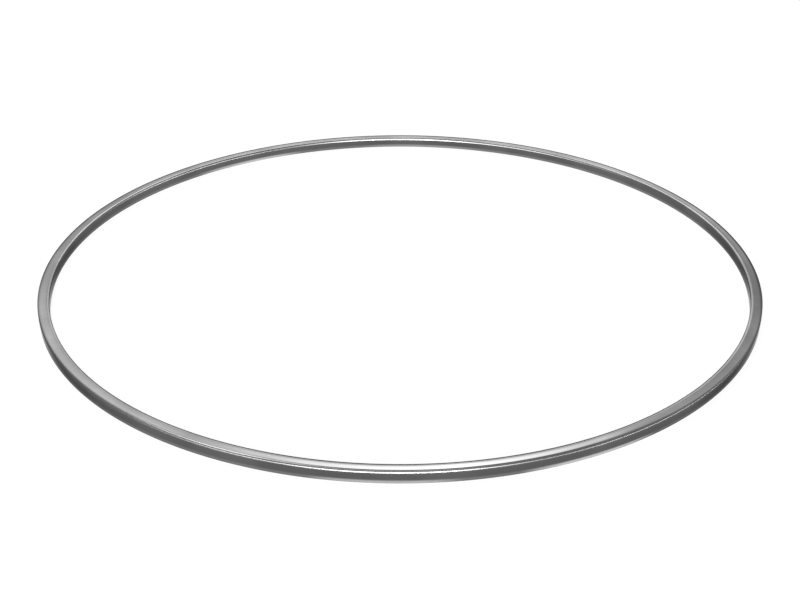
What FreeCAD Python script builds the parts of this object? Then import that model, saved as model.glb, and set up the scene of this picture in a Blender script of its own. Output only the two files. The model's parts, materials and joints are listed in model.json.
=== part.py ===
import FreeCAD, Part
import math
import os

# Rubber sealing ring, lying flat.
# Origin: middle of the ring, at its underside. +Z is the ring's axis. All lengths are in millimetres.

# Driving dimensions
bore_diameter = 215.49      # across the inner wall
section_width = 3.53        # radial, from the inner wall to the outer wall
section_height = 3.65       # along the axis, from the underside to the top
end_land_width = 1.20       # flat sealing land in the middle of the top and of the underside
wall_land_height = 1.20     # straight land in the middle of the inner and of the outer wall
shoulder_taper = 3.0        # degrees that each face slopes away from its land, towards the corners
corner_radius = 0.20        # rounding of the four corners of the section

# Sizes worked out from them
half_width = section_width / 2
half_height = section_height / 2
middle_radius = bore_diameter / 2 + half_width
taper = math.radians(shoulder_taper)


def corner_centre():
    """Centre of a corner's arc, from the middle of the section: one radius inside both tapered faces."""
    slope = math.tan(taper)
    inset = corner_radius / math.cos(taper)
    rise = half_height + slope * end_land_width / 2 - inset
    reach = half_width + slope * wall_land_height / 2 - inset
    up = (rise - slope * reach) / (1 - slope ** 2)
    return reach - slope * up, up


def corner_points():
    """Points of the outer top corner, from the end of the outer wall's land to the end of the top's land.

    The middle three are the start, middle and end of the corner's arc. The others are joined to it by
    the straight shoulders.
    """
    centre_out, centre_up = corner_centre()
    arc = [
        (centre_out + corner_radius * math.cos(angle), centre_up + corner_radius * math.sin(angle))
        for angle in (taper, math.pi / 4, math.pi / 2 - taper)
    ]
    return [(half_width, wall_land_height / 2), *arc, (end_land_width / 2, half_height)]


def section_point(out, up):
    """A point of the section, given from the section's middle, in the plane of X and Z."""
    return FreeCAD.Vector(middle_radius + out, 0, half_height + up)


def section_face():
    """Closed section: four rounded corners with their shoulders, joined by four straight lands."""
    corner = corner_points()
    turns = []
    for out_sign, up_sign in ((1, 1), (-1, 1), (-1, -1), (1, -1)):
        turn = [section_point(out_sign * out, up_sign * up) for out, up in corner]
        if out_sign != up_sign:
            turn.reverse()
        turns.append(turn)
    edges = []
    for turn, following in zip(turns, turns[1:] + turns[:1]):
        edges.append(Part.LineSegment(turn[0], turn[1]).toShape())
        edges.append(Part.Arc(*turn[1:4]).toShape())
        edges.append(Part.LineSegment(turn[3], turn[4]).toShape())
        edges.append(Part.LineSegment(turn[4], following[0]).toShape())
    return Part.Face(Part.Wire(edges))


def sealing_ring():
    """The whole ring: the section turned once about the axis."""
    return section_face().revolve(FreeCAD.Vector(0, 0, 0), FreeCAD.Vector(0, 0, 1), 360)


os.makedirs("parts", exist_ok=True)
sealing_ring().exportStep("parts/sealing_ring.step")
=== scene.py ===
"""Dresses the rubber sealing ring: the moulded ring, its rubber finish and a plain white studio."""

import json
import math
import typing

import bpy
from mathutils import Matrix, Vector


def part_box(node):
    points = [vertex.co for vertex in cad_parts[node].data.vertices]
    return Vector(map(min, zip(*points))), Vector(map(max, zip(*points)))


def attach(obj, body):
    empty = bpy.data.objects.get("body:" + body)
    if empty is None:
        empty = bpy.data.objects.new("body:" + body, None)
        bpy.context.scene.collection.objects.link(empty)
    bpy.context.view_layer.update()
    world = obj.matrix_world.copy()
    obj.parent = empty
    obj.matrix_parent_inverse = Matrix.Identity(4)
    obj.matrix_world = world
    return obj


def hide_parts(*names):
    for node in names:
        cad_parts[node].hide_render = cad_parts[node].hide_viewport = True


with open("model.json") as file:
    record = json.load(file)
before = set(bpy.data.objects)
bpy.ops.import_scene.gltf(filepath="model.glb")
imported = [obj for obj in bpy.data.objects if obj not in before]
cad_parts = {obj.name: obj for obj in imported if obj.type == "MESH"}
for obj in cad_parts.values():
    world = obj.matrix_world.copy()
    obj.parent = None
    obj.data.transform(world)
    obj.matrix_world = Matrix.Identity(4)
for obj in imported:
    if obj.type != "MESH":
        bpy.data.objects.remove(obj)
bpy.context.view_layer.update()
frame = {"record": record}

bl_info = {
    "name": "Rubber sealing ring",
    "version": (1, 0, 0),
    "blender": (4, 5, 0),
    "location": "3D View > Sidebar > Sealing ring",
    "description": "Models a near-square rubber sealing ring, its finish and a plain studio",
    "category": "Object",
}

MM = 0.001
NODE = "sealing_ring"
MOUNTS = {mount["name"]: mount for mount in frame["record"]["mounts"]}
INNER_RADIUS = MOUNTS["inner_wall"]["dims"]["r_mm"] * MM
OUTER_RADIUS = MOUNTS["outer_wall"]["dims"]["r_mm"] * MM
WALL_LAND = MOUNTS["outer_wall"]["dims"]["length_mm"] * MM
UNDERSIDE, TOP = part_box(NODE)[0].z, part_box(NODE)[1].z


class RingSizes(bpy.types.PropertyGroup):
    """Sizes of the moulded ring."""

    inner_radius: bpy.props.FloatProperty(
        name="Inner radius", description="From the axis to the inner wall",
        default=INNER_RADIUS, min=0.01, unit="LENGTH", precision=5)
    outer_radius: bpy.props.FloatProperty(
        name="Outer radius", description="From the axis to the outer wall",
        default=OUTER_RADIUS, min=0.01, unit="LENGTH", precision=5)
    underside: bpy.props.FloatProperty(
        name="Underside", description="Height of the plane that the ring lies on",
        default=UNDERSIDE, unit="LENGTH", precision=5)
    height: bpy.props.FloatProperty(
        name="Height", description="From the underside to the top",
        default=TOP - UNDERSIDE, min=0.0005, unit="LENGTH", precision=5)
    wall_land: bpy.props.FloatProperty(
        name="Wall land", description="Height of the straight land in the middle of each wall",
        default=WALL_LAND, min=0.0001, unit="LENGTH", precision=5)
    end_land: bpy.props.FloatProperty(
        name="End land", description="Width of the flat land in the middle of the top and underside",
        default=1.2 * MM, min=0.0001, unit="LENGTH", precision=5)
    shoulder_taper: bpy.props.FloatProperty(
        name="Shoulder taper", description="How far a shoulder slopes away from its land",
        default=math.radians(3.0), min=0.001, max=0.5, unit="ROTATION")
    corner_radius: bpy.props.FloatProperty(
        name="Corner radius", description="Rounding of the four corners of the section",
        default=0.2 * MM, min=0.00001, unit="LENGTH", precision=5)
    corner_blend: bpy.props.FloatProperty(
        name="Corner blend", description="Width beside each corner over which the gloss turns round it",
        default=0.7 * MM, min=0.00001, unit="LENGTH", precision=5)
    corner_steps: bpy.props.IntProperty(
        name="Corner steps", description="Straight steps in each rounded corner",
        default=1, min=1, max=16)
    turn_steps: bpy.props.IntProperty(
        name="Turn steps", description="Straight steps once round the ring",
        default=720, min=48, max=1440)


class RubberFinish(bpy.types.PropertyGroup):
    """Look of the moulded rubber."""

    skin_colour: bpy.props.FloatVectorProperty(
        name="Skin colour", description="Dark grey of the dressed, glossy skin",
        default=(0.104, 0.104, 0.104), size=3, min=0, max=1, subtype="COLOR")
    mottle_colour: bpy.props.FloatVectorProperty(
        name="Mottle colour", description="Slightly paler grey in the clouds of the skin",
        default=(0.124, 0.124, 0.124), size=3, min=0, max=1, subtype="COLOR")
    # Painted reflection: a pale grey base colour along the lower edges stands in for the light that they
    # mirror.
    painted_reflection_colour: bpy.props.FloatVectorProperty(
        name="Painted reflection colour",
        description="Pale grey where the lower edges have rubbed on what the ring lies on",
        default=(0.62, 0.62, 0.62), size=3, min=0, max=1, subtype="COLOR")
    dust_colour: bpy.props.FloatVectorProperty(
        name="Dust colour", description="Colour of the few specks of dust",
        default=(0.7, 0.7, 0.7), size=3, min=0, max=1, subtype="COLOR")
    # Painted reflection: how far up the walls the pale painted reflection reaches.
    painted_reflection_height: bpy.props.FloatProperty(
        name="Painted reflection height", description="How far up the walls the lower edges are rubbed pale",
        default=1.35 * MM, min=0.0001, unit="LENGTH", precision=5)
    mirror_share: bpy.props.FloatProperty(
        name="Mirror share",
        description="How far the dressed skin mirrors its surroundings, as graphite does",
        default=1.0, min=0, max=1, subtype="FACTOR")
    edge_tint: bpy.props.FloatVectorProperty(
        name="Edge tint", description="Strength of the gloss at a shallow angle",
        default=(0.4, 0.4, 0.4), size=3, min=0, max=1, subtype="COLOR")
    smoothest: bpy.props.FloatProperty(
        name="Smoothest", description="Roughness of the glossiest parts of the skin",
        default=0.065, min=0, max=1, subtype="FACTOR")
    dullest: bpy.props.FloatProperty(
        name="Dullest", description="Roughness of the dullest parts of the skin",
        default=0.105, min=0, max=1, subtype="FACTOR")
    corner_dulling: bpy.props.FloatProperty(
        name="Corner dulling", description="Roughness that handling has added at the rounded corners",
        default=0.16, min=0, max=1, subtype="FACTOR")
    ripple_height: bpy.props.FloatProperty(
        name="Ripple height", description="Height of the fine ripple that the mould leaves in the skin",
        default=0.001 * MM, min=0, unit="LENGTH", precision=6)


class StudioSetup(bpy.types.PropertyGroup):
    """Camera, floor and lamps."""

    camera_distance: bpy.props.FloatProperty(
        name="Camera distance", description="From the middle of the ring to the lens",
        default=0.40981, min=0.05, unit="LENGTH")
    camera_elevation: bpy.props.FloatProperty(
        name="Camera elevation", description="Angle of the camera above the ring's plane",
        default=math.radians(27.012), unit="ROTATION")
    camera_dip: bpy.props.FloatProperty(
        name="Camera dip", description="How far below the middle of the ring the camera looks",
        default=math.radians(1.406), unit="ROTATION")
    camera_lens: bpy.props.FloatProperty(
        name="Lens", description="Focal length on a sensor 36 mm wide, in millimetres",
        default=58.261, min=10, max=300)
    backdrop_level: bpy.props.FloatProperty(
        name="Backdrop level", description="Brightness of the white that surrounds the ring",
        default=1.0, min=0, max=2)
    shadow_share: bpy.props.FloatProperty(
        name="Shadow share", description="Share of the floor's white that the ring's shadow can darken",
        default=0.15, min=0, max=1, subtype="FACTOR")
    ambient_level: bpy.props.FloatProperty(
        name="Ambient level", description="Soft light on matt surfaces from all sides",
        default=0.05, min=0, max=2)


# Moulded ring

MERGE_DISTANCE = 0.001 * MM


def extrude_by(out, up):
    """Draws the section on by one straight run."""
    bpy.ops.mesh.extrude_region_move(TRANSFORM_OT_translate={"value": (out, 0, up)})


def draw_quarter_section(sizes):
    """Draws a quarter of the section, from the middle of the outer wall to the middle of the top.

    Each face is a straight land, then a shoulder with a slight taper, then the rounded corner.
    """
    taper = sizes.shoulder_taper
    slope = math.tan(taper)
    half_width = (sizes.outer_radius - sizes.inner_radius) / 2
    half_height = sizes.height / 2
    inset = sizes.corner_radius / math.cos(taper)
    rise = half_height + slope * sizes.end_land / 2 - inset
    reach = half_width + slope * sizes.wall_land / 2 - inset
    corner_up = (rise - slope * reach) / (1 - slope ** 2)
    corner_out = reach - slope * corner_up
    middle_radius = (sizes.inner_radius + sizes.outer_radius) / 2
    corner_centre = (middle_radius + corner_out, 0, sizes.underside + half_height + corner_up)
    overhang = sizes.corner_radius * math.sin(taper)
    blend = sizes.corner_blend
    wall_shoulder = corner_up + overhang - sizes.wall_land / 2
    top_shoulder = corner_out + overhang - sizes.end_land / 2

    extrude_by(0, sizes.wall_land / 2)
    extrude_by(-slope * (wall_shoulder - blend), wall_shoulder - blend)
    extrude_by(-slope * blend, blend)
    bpy.ops.mesh.spin(
        steps=sizes.corner_steps, angle=math.pi / 2 - 2 * taper, center=corner_centre, axis=(0, 1, 0))
    extrude_by(-blend, slope * blend)
    extrude_by(-(top_shoulder - blend), slope * (top_shoulder - blend))
    extrude_by(-sizes.end_land / 2, 0)


def mirror_section(sizes):
    """Completes the section from its quarter by mirroring it across its two middle lines."""
    middle = ((sizes.inner_radius + sizes.outer_radius) / 2, 0, sizes.underside + sizes.height / 2)
    for flip in ((-1, 1, 1), (1, 1, -1)):
        bpy.ops.mesh.select_all(action="SELECT")
        bpy.ops.mesh.duplicate()
        bpy.ops.transform.resize(value=flip, center_override=middle)
    bpy.ops.mesh.select_all(action="SELECT")
    bpy.ops.mesh.remove_doubles(threshold=MERGE_DISTANCE)


class SEALRING_OT_moulded_ring(bpy.types.Operator):
    """Model the ring: draw its section and turn it once about the axis"""

    bl_idname = "seal_ring.moulded_ring"
    bl_label = "Moulded ring"
    bl_options = {"REGISTER", "UNDO"}

    def execute(self, context):
        sizes = context.scene.seal_ring_sizes
        bpy.ops.object.select_all(action="DESELECT")
        wall_middle = (sizes.outer_radius, 0, sizes.underside + sizes.height / 2)
        bpy.ops.mesh.primitive_plane_add(size=sizes.wall_land, location=wall_middle)
        ring = context.object
        ring.name = "moulded_ring"
        ring.data.name = "moulded_ring"
        bpy.ops.object.transform_apply(location=True, rotation=True, scale=True)
        bpy.ops.object.mode_set(mode="EDIT")
        bpy.ops.mesh.select_mode(type="VERT")
        bpy.ops.mesh.select_all(action="SELECT")
        bpy.ops.mesh.merge(type="CENTER")
        draw_quarter_section(sizes)
        mirror_section(sizes)
        bpy.ops.mesh.spin(
            steps=sizes.turn_steps, angle=2 * math.pi, center=(0, 0, 0), axis=(0, 0, 1),
            use_auto_merge=True)
        bpy.ops.mesh.select_all(action="SELECT")
        bpy.ops.mesh.remove_doubles(threshold=MERGE_DISTANCE)
        bpy.ops.mesh.normals_make_consistent(inside=False)
        bpy.ops.object.mode_set(mode="OBJECT")
        bpy.ops.object.shade_smooth()
        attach(ring, "root")
        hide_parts(NODE)
        return {"FINISHED"}


# Rubber finish

# Noise goes from 0 to 1, about a half. A pattern fades in over the range of noise levels that it is given.
MOTTLE_SIZE = 14 * MM
MOTTLE_DETAIL = 4.0
MOTTLE_RANGE = (0.35, 0.65)
GLOSS_PATCH = 5 * MM
GLOSS_DETAIL = 5.0
GLOSS_RANGE = (0.3, 0.7)
RIPPLE_SIZE = 1.2 * MM
RIPPLE_DETAIL = 2.0
# Clouds that vary the strength of the painted reflection along the lower edges.
PAINTED_REFLECTION_PATCH = 30 * MM
PAINTED_REFLECTION_PATCH_DETAIL = 2.0
PAINTED_REFLECTION_PATCH_RANGE = (0.3, 0.6)
PAINTED_REFLECTION_PATCH_LEAST = 0.8

# Strength of the painted reflection along the lower edges between the stretches below, and the share of its
# height before it fades.
PAINTED_REFLECTION_ALL_ROUND = 0.17
PAINTED_REFLECTION_FULL_SHARE = 0.5
PAINTED_REFLECTION_DULLING = 0.08

# The wear shows to this depth inside both faces of a corner, and doesn't fade in the first quarter of it.
CORNER_WEAR_REACH = 1.0 * MM
CORNER_WEAR_FULL = CORNER_WEAR_REACH / 4

DUST_SPACING = 1.6 * MM
DUST_SIZE = 0.22 * MM
DUST_CHANCE = 0.02
DUST_ROUGHNESS = 0.6


class PaintedReflectionStretch(typing.NamedTuple):
    """A stretch of the lower edges where a stronger reflection is painted."""

    azimuth: float
    spread: float
    strength: float


# Angles are in degrees, and azimuth 0 is +X. The spread is from a stretch's middle to where it has faded.
# Painted reflection: these stretches face the camera or lie beyond the ring, where the lower edges mirror
# bright light.
PAINTED_REFLECTION_STRETCHES = (
    PaintedReflectionStretch(azimuth=268, spread=12, strength=0.75),
    PaintedReflectionStretch(azimuth=295.5, spread=12, strength=1.0),
    PaintedReflectionStretch(azimuth=85, spread=17, strength=0.42),
    PaintedReflectionStretch(azimuth=122, spread=14, strength=0.8),
)


def connect(tree, value, socket):
    """Links the socket to another node's output, or sets its value."""
    if isinstance(value, bpy.types.NodeSocket):
        tree.links.new(value, socket)
    else:
        socket.default_value = value


def add_node(tree, kind, **inputs):
    """Adds a node and returns it.

    The inputs are given by name, with underscores for spaces, as other nodes' outputs or as values.
    """
    node = tree.nodes.new(kind)
    for name, value in inputs.items():
        connect(tree, value, node.inputs[name.replace("_", " ")])
    return node


def add_math(tree, operation, first, second):
    """Adds a Math node and returns its result."""
    node = tree.nodes.new("ShaderNodeMath")
    node.operation = operation
    connect(tree, first, node.inputs[0])
    connect(tree, second, node.inputs[1])
    return node.outputs["Value"]


def add_vector_math(tree, operation, *vectors):
    """Adds a Vector Math node and returns it."""
    node = tree.nodes.new("ShaderNodeVectorMath")
    node.operation = operation
    for vector, socket in zip(vectors, node.inputs):
        connect(tree, vector, socket)
    return node


def blend_colours(tree, share, first, second):
    """Mixes from the first colour to the second by the share, and returns the result."""
    mix = tree.nodes.new("ShaderNodeMix")
    mix.data_type = "RGBA"
    connect(tree, share, mix.inputs["Factor"])
    colour_inputs = [socket for socket in mix.inputs if socket.type == "RGBA"]
    for value, socket in zip((first, second), colour_inputs):
        connect(tree, value, socket)
    return next(socket for socket in mix.outputs if socket.type == "RGBA")


def ramp(tree, value, start, end, low=0.0, high=1.0):
    """Turns a value smoothly from low, where it is at start, to high, where it is at end."""
    node = add_node(
        tree, "ShaderNodeMapRange", Value=value, From_Min=start, From_Max=end, To_Min=low, To_Max=high)
    node.interpolation_type = "SMOOTHSTEP"
    return node.outputs["Result"]


def clouds(tree, position, size, detail):
    """Soft noise with clouds of about the given size."""
    noise = add_node(tree, "ShaderNodeTexNoise", Vector=position, Scale=1 / size, Detail=detail)
    return noise.outputs["Fac"]


class RingPlace(typing.NamedTuple):
    """Where a point of the skin is, as node outputs.

    Its depths are measured inside the nearer wall, and inside the nearer end, which is the top or underside.
    """

    position: bpy.types.NodeSocket
    outwards: bpy.types.NodeSocket
    height: bpy.types.NodeSocket
    wall_depth: bpy.types.NodeSocket
    end_depth: bpy.types.NodeSocket


def place_on_ring(tree):
    """Adds the nodes that work out where a point of the skin is."""
    position = tree.nodes.new("ShaderNodeTexCoord").outputs["Object"]
    axes = add_node(tree, "ShaderNodeSeparateXYZ", Vector=position)
    height = axes.outputs["Z"]
    flat = add_node(tree, "ShaderNodeCombineXYZ", X=axes.outputs["X"], Y=axes.outputs["Y"])
    radius = add_vector_math(tree, "LENGTH", flat.outputs["Vector"]).outputs["Value"]
    outwards = add_vector_math(tree, "NORMALIZE", flat.outputs["Vector"]).outputs["Vector"]
    inside_outer_wall = add_math(tree, "SUBTRACT", OUTER_RADIUS, radius)
    inside_inner_wall = add_math(tree, "SUBTRACT", radius, INNER_RADIUS)
    wall_depth = add_math(tree, "MINIMUM", inside_outer_wall, inside_inner_wall)
    below_top = add_math(tree, "SUBTRACT", TOP, height)
    above_underside = add_math(tree, "SUBTRACT", height, UNDERSIDE)
    end_depth = add_math(tree, "MINIMUM", below_top, above_underside)
    return RingPlace(position, outwards, height, wall_depth, end_depth)


def dust_specks(tree, place):
    """1 on a few small specks that have settled on the top, and 0 elsewhere."""
    cells = add_node(tree, "ShaderNodeTexVoronoi", Vector=place.position, Scale=1 / DUST_SPACING)
    dot = add_math(tree, "LESS_THAN", cells.outputs["Distance"], DUST_SIZE / DUST_SPACING / 2)
    chance = add_node(tree, "ShaderNodeSeparateColor", Color=cells.outputs["Color"])
    chosen = add_math(tree, "LESS_THAN", chance.outputs["Red"], DUST_CHANCE)
    on_top = add_math(tree, "GREATER_THAN", place.height, TOP - DUST_SIZE)
    return add_math(tree, "MULTIPLY", add_math(tree, "MULTIPLY", dot, chosen), on_top)


def painted_edge_reflection(tree, place, reach):
    """Painted reflection: up to 1 at the lower edges, fading out up the walls.

    It is faint all round, and strongest on the listed stretches, where the painted reflection is brightest.
    """
    fade = ramp(tree, place.height, UNDERSIDE + reach, UNDERSIDE + reach * PAINTED_REFLECTION_FULL_SHARE)
    strength = PAINTED_REFLECTION_ALL_ROUND
    for stretch in PAINTED_REFLECTION_STRETCHES:
        azimuth = math.radians(stretch.azimuth)
        middle = (math.cos(azimuth), math.sin(azimuth), 0)
        along = add_vector_math(tree, "DOT_PRODUCT", place.outwards, middle).outputs["Value"]
        faded_out = math.cos(math.radians(stretch.spread))
        here = ramp(tree, along, start=faded_out, end=1.0, high=stretch.strength)
        strength = add_math(tree, "MAXIMUM", strength, here)
    noise = clouds(tree, place.position, PAINTED_REFLECTION_PATCH, PAINTED_REFLECTION_PATCH_DETAIL)
    patches = ramp(tree, noise, *PAINTED_REFLECTION_PATCH_RANGE, low=PAINTED_REFLECTION_PATCH_LEAST)
    return add_math(tree, "MULTIPLY", fade, add_math(tree, "MULTIPLY", strength, patches))


def worn_corners(tree, place):
    """1 at the four rounded corners, fading out over the shoulders beside them."""
    beside_wall = ramp(tree, place.wall_depth, CORNER_WEAR_REACH, CORNER_WEAR_FULL)
    beside_end = ramp(tree, place.end_depth, CORNER_WEAR_REACH, CORNER_WEAR_FULL)
    return add_math(tree, "MULTIPLY", beside_wall, beside_end)


class SEALRING_OT_rubber_finish(bpy.types.Operator):
    """Give the ring its smooth moulded rubber, with a painted reflection along the lower edges and a little
    dust
    """

    bl_idname = "seal_ring.rubber_finish"
    bl_label = "Rubber finish"
    bl_options = {"REGISTER", "UNDO"}

    def execute(self, context):
        finish = context.scene.seal_ring_finish
        material = bpy.data.materials.new("moulded_rubber")
        material.use_nodes = True
        tree = material.node_tree
        shader = tree.nodes["Principled BSDF"]
        place = place_on_ring(tree)

        mottle = ramp(tree, clouds(tree, place.position, MOTTLE_SIZE, MOTTLE_DETAIL), *MOTTLE_RANGE)
        # Painted reflection: the lower edges are coloured pale where they would mirror bright light.
        painted_reflection = painted_edge_reflection(tree, place, finish.painted_reflection_height)
        dust = dust_specks(tree, place)
        colour = blend_colours(tree, mottle, (*finish.skin_colour, 1), (*finish.mottle_colour, 1))
        colour = blend_colours(tree, painted_reflection, colour, (*finish.painted_reflection_colour, 1))
        colour = blend_colours(tree, dust, colour, (*finish.dust_colour, 1))
        connect(tree, colour, shader.inputs["Base Color"])

        gloss = clouds(tree, place.position, GLOSS_PATCH, GLOSS_DETAIL)
        roughness = ramp(tree, gloss, *GLOSS_RANGE, low=finish.smoothest, high=finish.dullest)
        # The band of painted reflection is also made a little rougher.
        dulling_under_painted_reflection = add_math(tree, "MULTIPLY", painted_reflection, PAINTED_REFLECTION_DULLING)
        roughness = add_math(tree, "ADD", roughness, dulling_under_painted_reflection)
        from_handling = add_math(tree, "MULTIPLY", worn_corners(tree, place), finish.corner_dulling)
        roughness = add_math(tree, "ADD", roughness, from_handling)
        of_dust = add_math(tree, "MULTIPLY", dust, DUST_ROUGHNESS)
        roughness = add_math(tree, "MAXIMUM", roughness, of_dust)
        connect(tree, roughness, shader.inputs["Roughness"])

        ripple = clouds(tree, place.position, RIPPLE_SIZE, RIPPLE_DETAIL)
        bump = add_node(tree, "ShaderNodeBump", Height=ripple, Distance=finish.ripple_height)
        connect(tree, bump.outputs["Normal"], shader.inputs["Normal"])

        shader.inputs["Metallic"].default_value = finish.mirror_share
        shader.inputs["Specular Tint"].default_value = (*finish.edge_tint, 1)
        ring = bpy.data.objects["moulded_ring"]
        ring.data.materials.clear()
        ring.data.materials.append(material)
        return {"FINISHED"}


# Studio

# The floor lies this far under the ring, so that no two faces share a plane.
FLOOR_GAP = 0.02 * MM
FLOOR_RADIUS = 3.0
FLOOR_SIDES = 96
FLOOR_MATT_COLOUR = (0.9, 0.9, 0.9, 1)

# The ring's shadow shows on the floor where the matt white is lit to less than this level.
FLOOR_MATT_LEVEL = 0.7

WORLD_COLOUR = (1, 1, 1, 1)
SENSOR_WIDTH = 36
VIEW_START = 0.01
VIEW_END = 50

# The fade is the share of a softbox's width and height over which its light dies away at each edge.
SOFTBOX_DISTANCE = 6.0
SOFTBOX_FADE = 0.35


class Softbox(typing.NamedTuple):
    """A soft lamp, placed and sized by angles as the ring sees it."""

    name: str
    azimuth: float
    elevation: float
    breadth: float
    rise: float
    level: float


# Angles are in degrees. Azimuth 0 is +X, 90 is beyond the ring and 270 is behind the camera.
SOFTBOXES = (
    Softbox("far_high", azimuth=88, elevation=40, breadth=23, rise=22, level=7.1),
    Softbox("far_low", azimuth=87, elevation=21, breadth=43, rise=15, level=5.4),
    Softbox("far_wide", azimuth=84, elevation=37, breadth=90, rise=29, level=1.7),
    Softbox("far_left", azimuth=118, elevation=29, breadth=40, rise=46, level=2.2),
    Softbox("key_wide", azimuth=278, elevation=5, breadth=73, rise=36, level=9.9),
    Softbox("key_low", azimuth=267, elevation=3, breadth=64, rise=26, level=18.0),
    Softbox("key_high", azimuth=270, elevation=34, breadth=50, rise=40, level=3.7),
    Softbox("key_left", azimuth=232, elevation=10, breadth=70, rise=17, level=13.0),
    Softbox("left_low", azimuth=198, elevation=3, breadth=33, rise=21, level=2.3),
    Softbox("left_top", azimuth=126, elevation=58, breadth=30, rise=19, level=9.2),
    Softbox("overhead", azimuth=107, elevation=78, breadth=37, rise=18, level=2.8),
    Softbox("right_low", azimuth=346, elevation=2, breadth=90, rise=12, level=12.9),
)


def width_of(angle):
    """Width that fills an angle, in degrees, at the softboxes' distance."""
    return 2 * SOFTBOX_DISTANCE * math.tan(math.radians(angle) / 2)


def fade_to_edges(lamp):
    """Lets the lamp's face fade to dark over the outer part of its width and height, as a softbox does."""
    lamp.use_nodes = True
    tree = lamp.node_tree
    place = tree.nodes.new("ShaderNodeNewGeometry").outputs["Parametric"]
    across = add_node(tree, "ShaderNodeSeparateXYZ", Vector=place)
    level = 1.0
    for axis in ("X", "Y"):
        to_far_edge = add_math(tree, "SUBTRACT", 1.0, across.outputs[axis])
        to_edge = add_math(tree, "MINIMUM", across.outputs[axis], to_far_edge)
        level = add_math(tree, "MULTIPLY", level, ramp(tree, to_edge, 0.0, SOFTBOX_FADE))
    connect(tree, level, tree.nodes["Emission"].inputs["Strength"])


def hang_softbox(softbox):
    """Adds the lamp so that it faces the ring and isn't in the picture itself."""
    azimuth = math.radians(softbox.azimuth)
    elevation = math.radians(softbox.elevation)
    towards = Vector((
        math.cos(azimuth) * math.cos(elevation),
        math.sin(azimuth) * math.cos(elevation),
        math.sin(elevation),
    ))
    bpy.ops.object.light_add(type="AREA", location=towards * SOFTBOX_DISTANCE)
    lamp = bpy.context.object
    lamp.name = softbox.name
    lamp.rotation_euler = towards.to_track_quat("Z", "Y").to_euler()
    lamp.data.shape = "RECTANGLE"
    lamp.data.size = width_of(softbox.breadth)
    lamp.data.size_y = width_of(softbox.rise)
    lamp.data.energy = softbox.level * math.pi * lamp.data.size * lamp.data.size_y
    lamp.visible_camera = False
    fade_to_edges(lamp.data)


def seen_directly(tree):
    """1 for what the lens sees, also by a mirror reflection or through glass, and 0 for soft light."""
    path = tree.nodes.new("ShaderNodeLightPath")
    seen = add_math(tree, "ADD", path.outputs["Is Camera Ray"], path.outputs["Is Glossy Ray"])
    return add_math(tree, "ADD", seen, path.outputs["Is Transmission Ray"])


def white_floor_material(studio):
    """A plain white that glows to the lens and to gloss, with a share of matt white that takes the shadow."""
    material = bpy.data.materials.new("white_floor")
    material.use_nodes = True
    tree = material.node_tree
    tree.nodes.clear()
    output = tree.nodes.new("ShaderNodeOutputMaterial")
    matt = tree.nodes.new("ShaderNodeBsdfDiffuse")
    matt.inputs["Color"].default_value = FLOOR_MATT_COLOUR
    glow = tree.nodes.new("ShaderNodeEmission")
    matt_part = studio.shadow_share * FLOOR_MATT_LEVEL
    glow.inputs["Strength"].default_value = (studio.backdrop_level - matt_part) / (1 - studio.shadow_share)
    mix = tree.nodes.new("ShaderNodeMixShader")
    share = add_math(tree, "MULTIPLY", seen_directly(tree), 1 - studio.shadow_share)
    tree.links.new(share, mix.inputs["Fac"])
    tree.links.new(matt.outputs["BSDF"], mix.inputs[1])
    tree.links.new(glow.outputs["Emission"], mix.inputs[2])
    tree.links.new(mix.outputs["Shader"], output.inputs["Surface"])
    return material


def light_world(studio):
    """White all round for the lens and for gloss, and a plain soft light for matt surfaces."""
    world = bpy.data.worlds.new("studio_white")
    world.use_nodes = True
    tree = world.node_tree
    extra = add_math(tree, "MULTIPLY", seen_directly(tree), studio.backdrop_level - studio.ambient_level)
    strength = add_math(tree, "ADD", extra, studio.ambient_level)
    tree.nodes["Background"].inputs["Color"].default_value = WORLD_COLOUR
    tree.links.new(strength, tree.nodes["Background"].inputs["Strength"])
    return world


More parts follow.
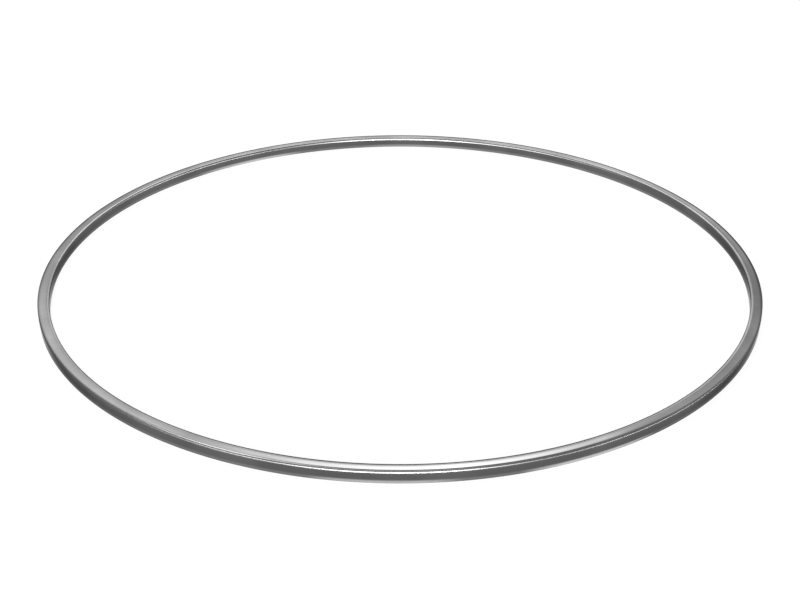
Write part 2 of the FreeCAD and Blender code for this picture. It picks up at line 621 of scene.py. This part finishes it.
class SEALRING_OT_studio(bpy.types.Operator):
    """Add the white floor, the soft lamps and the camera"""

    bl_idname = "seal_ring.studio"
    bl_label = "Studio"
    bl_options = {"REGISTER", "UNDO"}

    def execute(self, context):
        studio = context.scene.seal_ring_studio
        sizes = context.scene.seal_ring_sizes
        scene = context.scene
        bpy.ops.object.select_all(action="DESELECT")
        bpy.ops.mesh.primitive_circle_add(
            vertices=FLOOR_SIDES, radius=FLOOR_RADIUS, fill_type="NGON",
            location=(0, 0, sizes.underside - FLOOR_GAP))
        floor = context.object
        floor.name = "floor"
        floor.data.materials.append(white_floor_material(studio))
        scene.world = light_world(studio)
        for softbox in SOFTBOXES:
            hang_softbox(softbox)

        elevation = studio.camera_elevation
        towards = Vector((0, -math.cos(elevation), math.sin(elevation)))
        ring_middle = Vector((0, 0, sizes.underside + sizes.height / 2))
        bpy.ops.object.camera_add(location=ring_middle + towards * studio.camera_distance)
        camera = context.object
        camera.rotation_euler = (math.pi / 2 - elevation - studio.camera_dip, 0, 0)
        camera.data.sensor_width = SENSOR_WIDTH
        camera.data.lens = studio.camera_lens
        camera.data.clip_start = VIEW_START
        camera.data.clip_end = VIEW_END
        scene.camera = camera
        scene.view_settings.view_transform = "Standard"
        return {"FINISHED"}


class SEALRING_PT_panel(bpy.types.Panel):
    """Sizes, finish and studio of the sealing ring"""

    bl_idname = "SEALRING_PT_panel"
    bl_label = "Sealing ring"
    bl_space_type = "VIEW_3D"
    bl_region_type = "UI"
    bl_category = "Sealing ring"

    def draw(self, context):
        groups = ("seal_ring_sizes", "seal_ring_finish", "seal_ring_studio")
        operators = (SEALRING_OT_moulded_ring, SEALRING_OT_rubber_finish, SEALRING_OT_studio)
        for group, operator in zip(groups, operators):
            box = self.layout.box()
            settings = getattr(context.scene, group)
            for name in settings.__annotations__:
                box.prop(settings, name)
            box.operator(operator.bl_idname)


CLASSES = (
    RingSizes,
    RubberFinish,
    StudioSetup,
    SEALRING_OT_moulded_ring,
    SEALRING_OT_rubber_finish,
    SEALRING_OT_studio,
    SEALRING_PT_panel,
)


def register():
    """Registers the classes, and gives the scene the three groups of settings."""
    for each in CLASSES:
        bpy.utils.register_class(each)
    bpy.types.Scene.seal_ring_sizes = bpy.props.PointerProperty(type=RingSizes)
    bpy.types.Scene.seal_ring_finish = bpy.props.PointerProperty(type=RubberFinish)
    bpy.types.Scene.seal_ring_studio = bpy.props.PointerProperty(type=StudioSetup)


def unregister():
    """Takes away what register added."""
    del bpy.types.Scene.seal_ring_studio
    del bpy.types.Scene.seal_ring_finish
    del bpy.types.Scene.seal_ring_sizes
    for each in reversed(CLASSES):
        bpy.utils.unregister_class(each)


def main():
    """Makes the ring, its finish and the studio."""
    register()
    bpy.ops.seal_ring.moulded_ring()
    bpy.ops.seal_ring.rubber_finish()
    bpy.ops.seal_ring.studio()


if __name__ == "__main__":
    main()
